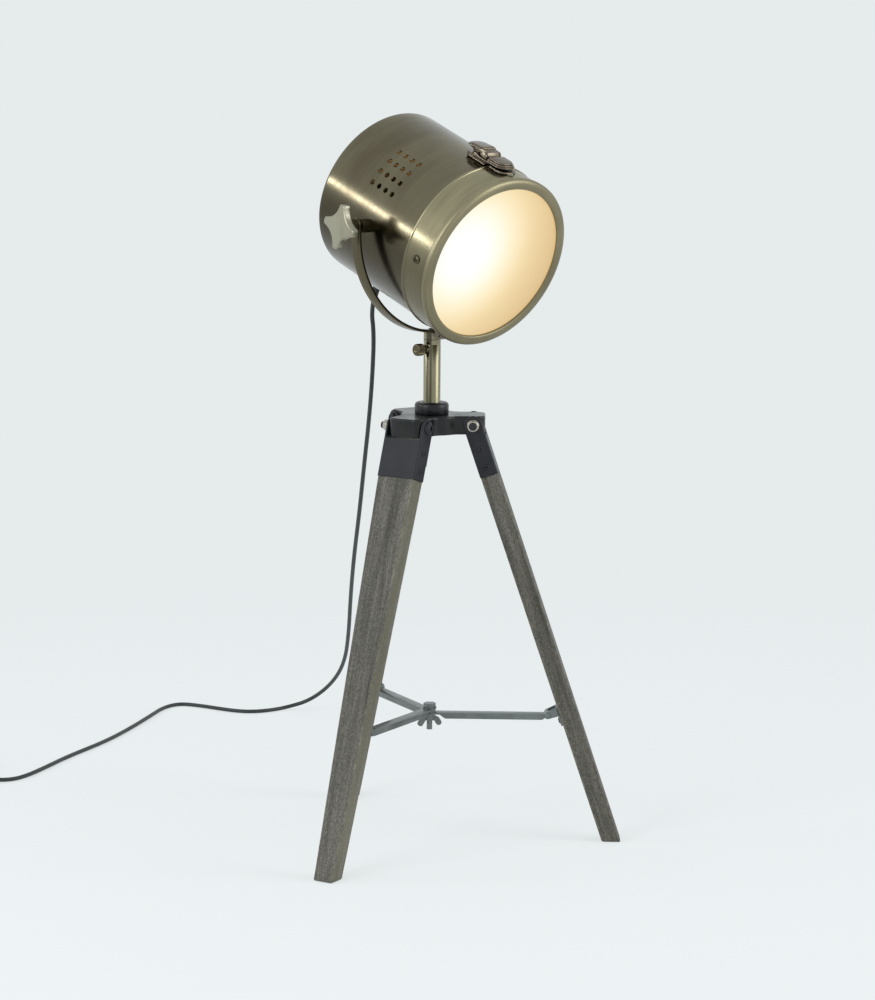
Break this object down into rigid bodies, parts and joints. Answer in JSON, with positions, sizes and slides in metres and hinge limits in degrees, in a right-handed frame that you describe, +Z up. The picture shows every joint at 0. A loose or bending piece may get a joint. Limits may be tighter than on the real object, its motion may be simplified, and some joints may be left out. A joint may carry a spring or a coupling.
{
  "type": "tripod searchlight lamp",
  "caption": "Tabletop searchlight lamp with a hinged glass door, tilting in a yoke that pans on a short pole, on a folding wooden tripod with a spread brace, cord and plug.",
  "frame": {"origin": "on the pole's axis at the height of the surface that the feet stand on", "axes": "+Z up along the pole, the beam points to -Y, the yoke's arms stand at -X and +X"},
  "size_m": [0.5183, 0.6861, 0.642],
  "materials": {
    "wood": "dark stained open-grained wood, oiled",
    "black_iron": "cast, black satin paint",
    "black_steel": "slate-black satin coating, rubbed at the edges",
    "grey_steel": "gunmetal coating",
    "nickel": "nickel plated, slightly worn",
    "antique_brass": "aged olive-brown brass, brushed round the axis",
    "dark_bronze": "dark copper-bronze plating",
    "black_plastic": "black moulded, satin",
    "cord": "dark grey sheath",
    "frosted_glass": "frosted, lit warm from behind",
    "bulb_glass": "opal"
  },
  "bodies": {
    "base": {"hub": "black_iron", "hub_bolts": "black_steel", "hub_nuts": "nickel", "collar": "black_iron", "pole_nut": "nickel", "pole": "antique_brass", "cord_drop": "cord", "cord_floor": "cord", "cord_lead": "cord", "cord_coil": "cord", "cord_tail": "cord", "switch_lower": "black_plastic", "switch_upper": "black_plastic", "plug_body": "black_plastic", "plug_pins": "nickel"},
    "yoke": {"yoke": "antique_brass", "yoke_stem": "antique_brass", "cord_top": "cord"},
    "head": {"drum": "antique_brass", "drum_rivets": "black_steel", "pivot_bushes": "antique_brass", "cord_gland": "black_plastic", "latch_base": "dark_bronze", "hinge_leaf_fixed": "antique_brass", "holder_bracket": "black_steel", "lamp_holder": "black_plastic", "bulb_cap": "nickel", "bulb_glass": "bulb_glass"},
    "door": {"door_band": "antique_brass", "bezel": "antique_brass", "lens": "frosted_glass", "door_screws": "antique_brass", "latch_catch": "dark_bronze", "hinge_leaf_door": "antique_brass"},
    "lever": {"latch_lever": "dark_bronze"},
    "link": {"latch_link": "dark_bronze"},
    "clamp_left": {"knob_left": "antique_brass", "stud_left": "nickel"},
    "clamp_right": {"knob_right": "antique_brass", "stud_right": "nickel"},
    "thumb": {"thumb_screw": "antique_brass"},
    "rocker": {"switch_rocker": "black_plastic"},
    "wing": {"wing_nut": "grey_steel"},
    "leg_a": {"leg_a": "wood", "sleeve_a": "black_steel", "leg_screws_a": "black_steel", "brace_bracket_a": "grey_steel"},
    "brace_a": {"brace_a": "grey_steel"},
    "leg_b": {"leg_b": "wood", "sleeve_b": "black_steel", "leg_screws_b": "black_steel", "brace_bracket_b": "grey_steel"},
    "brace_b": {"brace_b": "grey_steel", "centre_bolt": "grey_steel"},
    "leg_c": {"leg_c": "wood", "sleeve_c": "black_steel", "leg_screws_c": "black_steel", "brace_bracket_c": "grey_steel"},
    "brace_c": {"brace_c": "grey_steel"}
  },
  "joints": [
    {"name": "yoke_pan", "type": "hinge", "parent": "base", "child": "yoke", "pos_m": [0, 0, 0.45], "axis": [0, 0, 1], "range_deg": [-170, 170], "deforming": ["cord_drop"]},
    {"name": "head_tilt", "type": "hinge", "parent": "yoke", "child": "head", "pos_m": [0, 0, 0.549], "axis": [1, 0, 0], "range_deg": [-38, 3], "deforming": ["cord_top"]},
    {"name": "door_hinge", "type": "hinge", "parent": "head", "child": "door", "pos_m": [0, -0.02074, 0.45374], "axis": [1, 0, 0], "range_deg": [0, 80]},
    {"name": "latch_lever", "type": "hinge", "parent": "head", "child": "lever", "pos_m": [0, -0.07197, 0.60813], "axis": [1, 0, 0], "range_deg": [0, 110]},
    {"name": "latch_link", "type": "hinge", "parent": "lever", "child": "link", "pos_m": [0, -0.06397, 0.6096], "axis": [1, 0, 0], "range_deg": [-143, 0]},
    {"name": "knob_left_turn", "type": "hinge", "parent": "head", "child": "clamp_left", "pos_m": [-0.1, 0, 0.549], "axis": [1, 0, 0], "continuous": true},
    {"name": "knob_right_turn", "type": "hinge", "parent": "head", "child": "clamp_right", "pos_m": [0.1, 0, 0.549], "axis": [1, 0, 0], "continuous": true},
    {"name": "thumb_screw_turn", "type": "hinge", "parent": "base", "child": "thumb", "pos_m": [-0.015, 0, 0.439], "axis": [1, 0, 0], "continuous": true},
    {"name": "wing_nut_turn", "type": "hinge", "parent": "brace_b", "child": "wing", "pos_m": [0, 0, 0.108], "axis": [0, 0, 1], "continuous": true},
    {"name": "rocker_tilt", "type": "hinge", "parent": "base", "child": "rocker", "pos_m": [-0.2286, 0.4453, 0.0124], "axis": [0.6691, 0.7431, 0], "range_deg": [0, 16]},
    {"name": "leg_a_fold", "type": "hinge", "parent": "base", "child": "leg_a", "pos_m": [-0.035, -0.01037, 0.374], "axis": [-0.284, 0.9588, 0], "range_deg": [-18, 0]},
    {"name": "leg_b_fold", "type": "hinge", "parent": "base", "child": "leg_b", "pos_m": [0.02648, -0.02513, 0.374], "axis": [-0.6884, -0.7254, 0], "range_deg": [-18, 0]},
    {"name": "leg_c_fold", "type": "hinge", "parent": "base", "child": "leg_c", "pos_m": [0.00852, 0.03549, 0.374], "axis": [0.9724, -0.2334, 0], "range_deg": [-18, 0]},
    {"name": "brace_a_fold", "type": "hinge", "parent": "leg_a", "child": "brace_a", "pos_m": [-0.10068, -0.02982, 0.11725], "axis": [-0.284, 0.9588, 0], "range_deg": [-70.2, 0]},
    {"name": "brace_b_fold", "type": "hinge", "parent": "leg_b", "child": "brace_b", "pos_m": [0.07616, -0.07228, 0.11405], "axis": [-0.6884, -0.7254, 0], "range_deg": [0, 66.06]},
    {"name": "brace_c_fold", "type": "hinge", "parent": "leg_c", "child": "brace_c", "pos_m": [0.02451, 0.1021, 0.11565], "axis": [0.9724, -0.2334, 0], "range_deg": [-37.8, 0]}
  ],
  "couplings": [
    {"joint": "latch_link", "follows": "latch_lever", "ratio": -1.3},
    {"joint": "leg_b_fold", "follows": "leg_a_fold", "ratio": 1},
    {"joint": "leg_c_fold", "follows": "leg_a_fold", "ratio": 1},
    {"joint": "brace_a_fold", "follows": "leg_a_fold", "ratio": 3.9},
    {"joint": "brace_b_fold", "follows": "leg_a_fold", "ratio": -3.67},
    {"joint": "brace_c_fold", "follows": "leg_a_fold", "ratio": 2.1}
  ]
}
